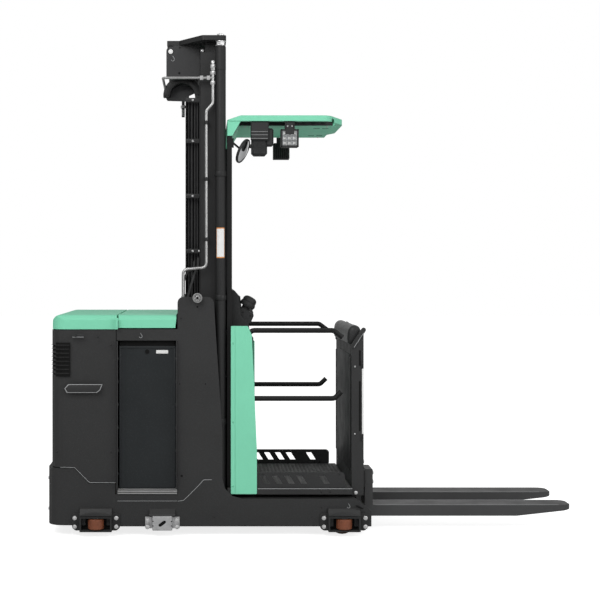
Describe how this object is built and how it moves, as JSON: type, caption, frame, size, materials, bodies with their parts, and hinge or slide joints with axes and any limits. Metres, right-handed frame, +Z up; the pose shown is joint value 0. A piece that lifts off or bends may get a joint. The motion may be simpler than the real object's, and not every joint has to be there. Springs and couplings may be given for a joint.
{
  "type": "order picker truck",
  "caption": "High-level order picker truck: battery power unit, two-stage mast, rising operator cabin with overhead guard, side gates and lifting forks.",
  "frame": {"origin": "on the floor, under the middle of the bounding box", "axes": "+X towards the fork tips, +Y to the operator's left when facing the forks, +Z up"},
  "size_m": [2.9178, 0.999, 2.738],
  "materials": {
    "mint": "satin mint green paint",
    "dark": "fine textured dark grey powder coat",
    "mast_black": "semi-gloss black paint",
    "battery_paint": "blue-black enamel",
    "steel": "zinc plated",
    "chrome_rod": "polished",
    "tread": "brown polyurethane",
    "roller_orange": "orange-brown polyurethane",
    "plastic": "fine grained black moulding"
  },
  "bodies": {
    "chassis": {"battery": "battery_paint", "battery_bed": "steel", "cable_trough": "mast_black", "chassis_frame": "dark", "guide_housing_front_left": "dark", "guide_housing_front_right": "dark", "guide_housing_rear_left": "dark", "guide_housing_rear_right": "dark", "hydraulic_pipe": "steel", "lift_cylinder_left": "mast_black", "lift_cylinder_right": "mast_black", "motor_hood": "mint", "outer_mast": "mast_black", "rear_cover": "dark", "rear_skirt": "dark", "wear_block_left": "steel", "wear_block_right": "steel"},
    "battery_lid": {"battery_cover": "mint"},
    "drive_unit": {"drive_unit": "plastic"},
    "drive_wheel": {"drive_wheel": "tread"},
    "load_wheel_right": {"load_wheel_right": "tread"},
    "load_wheel_left": {"load_wheel_left": "tread"},
    "guide_rear_right": {"guide_roller_rear_right": "roller_orange"},
    "guide_front_right": {"guide_roller_front_right": "roller_orange"},
    "guide_rear_left": {"guide_roller_rear_left": "roller_orange"},
    "guide_front_left": {"guide_roller_front_left": "roller_orange"},
    "inner_mast": {"crosshead": "mast_black", "head_box": "mast_black", "hose_guide": "plastic", "inner_mast": "mast_black", "lift_rod_left": "chrome_rod", "lift_rod_right": "chrome_rod"},
    "cabin": {"backrest_pad": "plastic", "cabin_frame": "mast_black", "console_body": "plastic", "console_cover_left": "mint", "console_cover_right": "mint", "control_panel": "plastic", "fork_mast": "mast_black", "kick_plate_left": "dark", "kick_plate_right": "dark", "load_wall": "dark", "mirror": "plastic", "overhead_guard": "mint", "platform": "dark", "roof_fan": "plastic", "side_lamp_left": "plastic", "side_lamp_right": "plastic", "steering_disc": "plastic"},
    "fork_carriage": {"fork_carriage": "mast_black", "fork_left": "mast_black", "fork_right": "mast_black"},
    "gate_right": {"gate_right": "mast_black"},
    "gate_left": {"gate_left": "mast_black"}
  },
  "joints": [
    {"name": "steering", "type": "hinge", "parent": "chassis", "child": "drive_unit", "pos_m": [-1.2539, 0, 0.52], "axis": [0, 0, 1], "range_deg": [-90, 90]},
    {"name": "drive_wheel_spin", "type": "hinge", "parent": "drive_unit", "child": "drive_wheel", "pos_m": [-1.2539, 0, 0.16], "axis": [0, 1, 0], "continuous": true},
    {"name": "load_wheel_right_spin", "type": "hinge", "parent": "chassis", "child": "load_wheel_right", "pos_m": [0.1566, -0.356, 0.075], "axis": [0, 1, 0], "continuous": true},
    {"name": "guide_rear_right_spin", "type": "hinge", "parent": "chassis", "child": "guide_rear_right", "pos_m": [-1.1919, -0.456, 0.071], "axis": [0, 0, 1], "continuous": true},
    {"name": "guide_front_right_spin", "type": "hinge", "parent": "chassis", "child": "guide_front_right", "pos_m": [0.1596, -0.456, 0.071], "axis": [0, 0, 1], "continuous": true},
    {"name": "load_wheel_left_spin", "type": "hinge", "parent": "chassis", "child": "load_wheel_left", "pos_m": [0.1566, 0.356, 0.075], "axis": [0, 1, 0], "continuous": true},
    {"name": "guide_rear_left_spin", "type": "hinge", "parent": "chassis", "child": "guide_rear_left", "pos_m": [-1.1919, 0.456, 0.071], "axis": [0, 0, 1], "continuous": true},
    {"name": "guide_front_left_spin", "type": "hinge", "parent": "chassis", "child": "guide_front_left", "pos_m": [0.1596, 0.456, 0.071], "axis": [0, 0, 1], "continuous": true},
    {"name": "battery_cover_hinge", "type": "hinge", "parent": "chassis", "child": "battery_lid", "pos_m": [-1.0749, 0, 1.2022], "axis": [0, -1, 0], "range_deg": [0, 80]},
    {"name": "mast_lift", "type": "slide", "parent": "chassis", "child": "inner_mast", "axis": [0, 0, 1], "range_m": [0, 1.85]},
    {"name": "cabin_lift", "type": "slide", "parent": "inner_mast", "child": "cabin", "axis": [0, 0, 1], "range_m": [0, 1.85]},
    {"name": "fork_lift", "type": "slide", "parent": "cabin", "child": "fork_carriage", "axis": [0, 0, 1], "range_m": [0, 0.7]},
    {"name": "gate_right_hinge", "type": "hinge", "parent": "cabin", "child": "gate_right", "pos_m": [-0.3814, -0.4085, 1.04], "axis": [0, -1, 0], "range_deg": [0, 85]},
    {"name": "gate_left_hinge", "type": "hinge", "parent": "cabin", "child": "gate_left", "pos_m": [-0.3814, 0.4085, 1.04], "axis": [0, -1, 0], "range_deg": [0, 85]}
  ],
  "couplings": [
    {"joint": "cabin_lift", "follows": "mast_lift", "ratio": 1}
  ]
}
